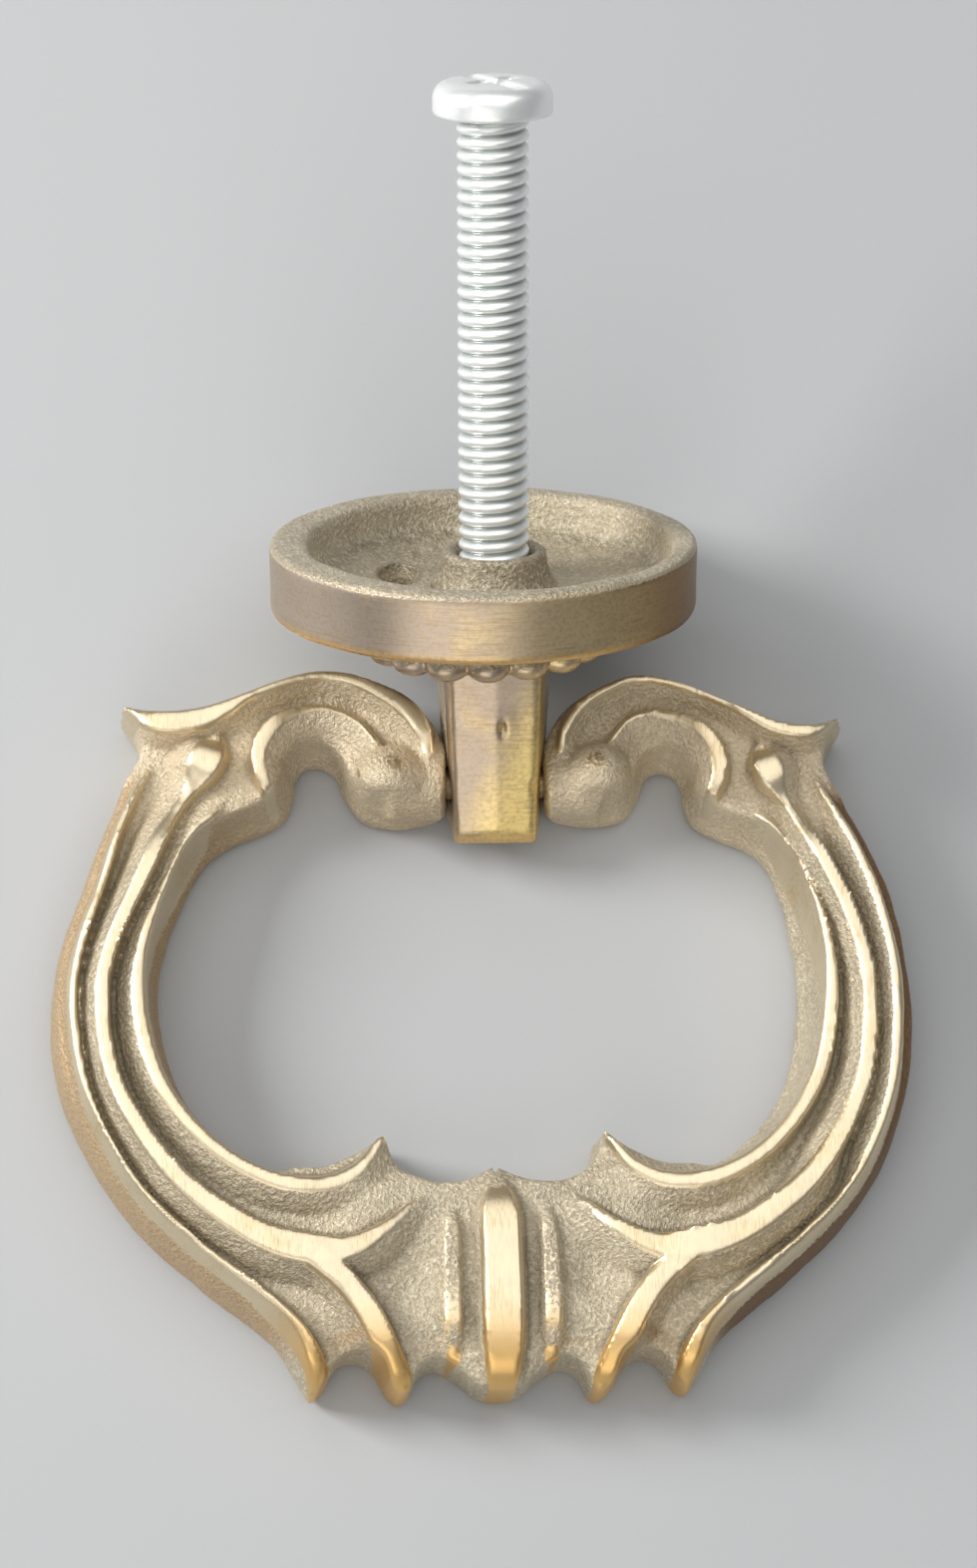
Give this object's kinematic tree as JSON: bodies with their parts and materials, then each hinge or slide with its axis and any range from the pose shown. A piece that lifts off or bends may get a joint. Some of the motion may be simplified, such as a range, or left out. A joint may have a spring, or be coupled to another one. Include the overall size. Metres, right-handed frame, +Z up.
{
  "type": "door knocker",
  "caption": "Small cast brass door knocker: a scrolled swinging bail on a tapered post, with a hollow-backed round rosette and a through-door machine screw.",
  "frame": {"origin": "under the middle of the knocker's box, on the surface that it lies on", "axes": "+X to the right across the bail, +Y from the bail's foot towards the rosette and screw head, +Z up from the surface. The bail lies flat on its back and the screw axis rises 35.5 degrees towards +Y"},
  "size_m": [0.0504, 0.073, 0.0305],
  "materials": {
    "rosette_brass": "aged cast brass, brushed round its side and sandy in the hollow back",
    "post_brass": "aged brass, filed along its faces",
    "pin_brass": "turned brass",
    "bail_brass": "sand-cast brass with a grey-olive patina in the grooves and file-polished ridges",
    "zinc_plate": "bright zinc plating"
  },
  "bodies": {
    "fitting": {"rosette": "rosette_brass", "post": "post_brass", "pivot_pin": "pin_brass"},
    "bail": {"bail": "bail_brass"},
    "screw": {"mounting_screw": "zinc_plate"}
  },
  "joints": [
    {"name": "bail_swing", "type": "hinge", "parent": "fitting", "child": "bail", "pos_m": [0, 0.0006, 0.0037], "axis": [-1, 0, 0], "range_deg": [-143.5, 73.5]},
    {"name": "screw_travel", "type": "slide", "parent": "fitting", "child": "screw", "axis": [0, 0.8141, 0.5807], "range_m": [-0.003, 0.005]}
  ]
}
